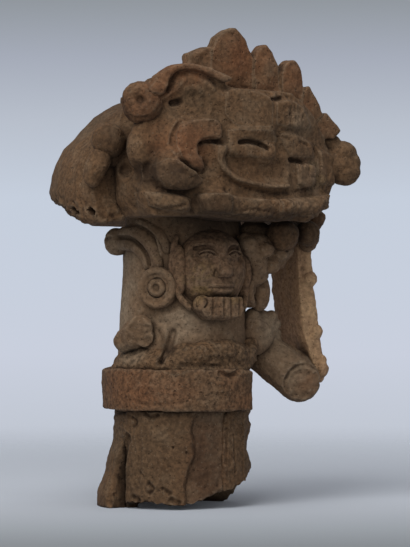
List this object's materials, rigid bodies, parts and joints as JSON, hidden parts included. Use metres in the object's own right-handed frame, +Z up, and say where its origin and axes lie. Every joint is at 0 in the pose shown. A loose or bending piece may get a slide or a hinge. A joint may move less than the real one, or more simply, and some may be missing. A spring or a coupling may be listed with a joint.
{
  "type": "effigy urn",
  "caption": "Hand-built fired-clay effigy urn fragment: hollow pipe body with a modelled face, belt and arm stubs under a large animal-mask headdress with a feather crest.",
  "frame": {"origin": "middle of the underside of the urn's overall box, in the plane that the broken foot of the pipe stands on", "axes": "+Z up along the pipe, the figure faces -Y, +X towards the figure's left hand and the side flange"},
  "size_m": [0.1926, 0.1792, 0.314],
  "materials": {
    "buff_terracotta": "unglazed low-fired clay, grey-buff, gritty, with pale deposits",
    "brown_terracotta": "unglazed low-fired clay, brown, smoke-stained in the hollows",
    "red_terracotta": "unglazed low-fired clay, reddish brown, worn smooth on the high spots",
    "ochre_terracotta": "unglazed low-fired clay with traces of yellow ochre paint",
    "sooty_terracotta": "unglazed low-fired clay, darkened by smoke"
  },
  "bodies": {
    "root": {"pipe_body": "buff_terracotta", "cap_dome": "brown_terracotta", "mask_block": "brown_terracotta", "brow_scroll": "red_terracotta", "forehead_panel": "brown_terracotta", "scroll_tongue": "red_terracotta", "cheek_lobe": "brown_terracotta", "muzzle_plate": "brown_terracotta", "square_tooth": "brown_terracotta", "jaw_band": "brown_terracotta", "stepped_block": "brown_terracotta", "side_border": "brown_terracotta", "brow_step": "brown_terracotta", "cheek_step": "brown_terracotta", "lip_curl": "brown_terracotta", "lip_bulge": "brown_terracotta", "lip_fold": "brown_terracotta", "lip_end": "brown_terracotta", "feather_4": "red_terracotta", "feather_5": "red_terracotta", "feather_stump": "red_terracotta", "feather_1": "red_terracotta", "feather_2": "red_terracotta", "feather_3": "red_terracotta", "face": "ochre_terracotta", "nose": "ochre_terracotta", "upper_lip": "ochre_terracotta", "lower_lip": "ochre_terracotta", "eyelid_right": "ochre_terracotta", "eyelid_left": "ochre_terracotta", "beard_plate": "ochre_terracotta", "cheek_border_right": "ochre_terracotta", "cheek_border_left": "ochre_terracotta", "spool_right": "buff_terracotta", "spool_plug_right": "ochre_terracotta", "spool_left": "buff_terracotta", "spool_plug_left": "ochre_terracotta", "lock_right": "buff_terracotta", "lock_left": "buff_terracotta", "belt": "red_terracotta", "side_rib": "brown_terracotta", "skirt_sheet": "brown_terracotta", "skirt_strip": "brown_terracotta", "side_flange": "sooty_terracotta", "lobe_inner": "brown_terracotta", "lobe_outer": "brown_terracotta", "pellet_1": "red_terracotta", "pellet_2": "red_terracotta", "pellet_3": "red_terracotta", "pellet_4": "red_terracotta", "pellet_5": "red_terracotta", "arm_stub_right": "buff_terracotta", "shoulder_left": "buff_terracotta", "arm_left": "buff_terracotta", "cape": "brown_terracotta", "pierced_knob": "red_terracotta", "side_knob": "brown_terracotta", "cap_ball": "red_terracotta", "cap_finger": "brown_terracotta"}
  },
  "joints": []
}
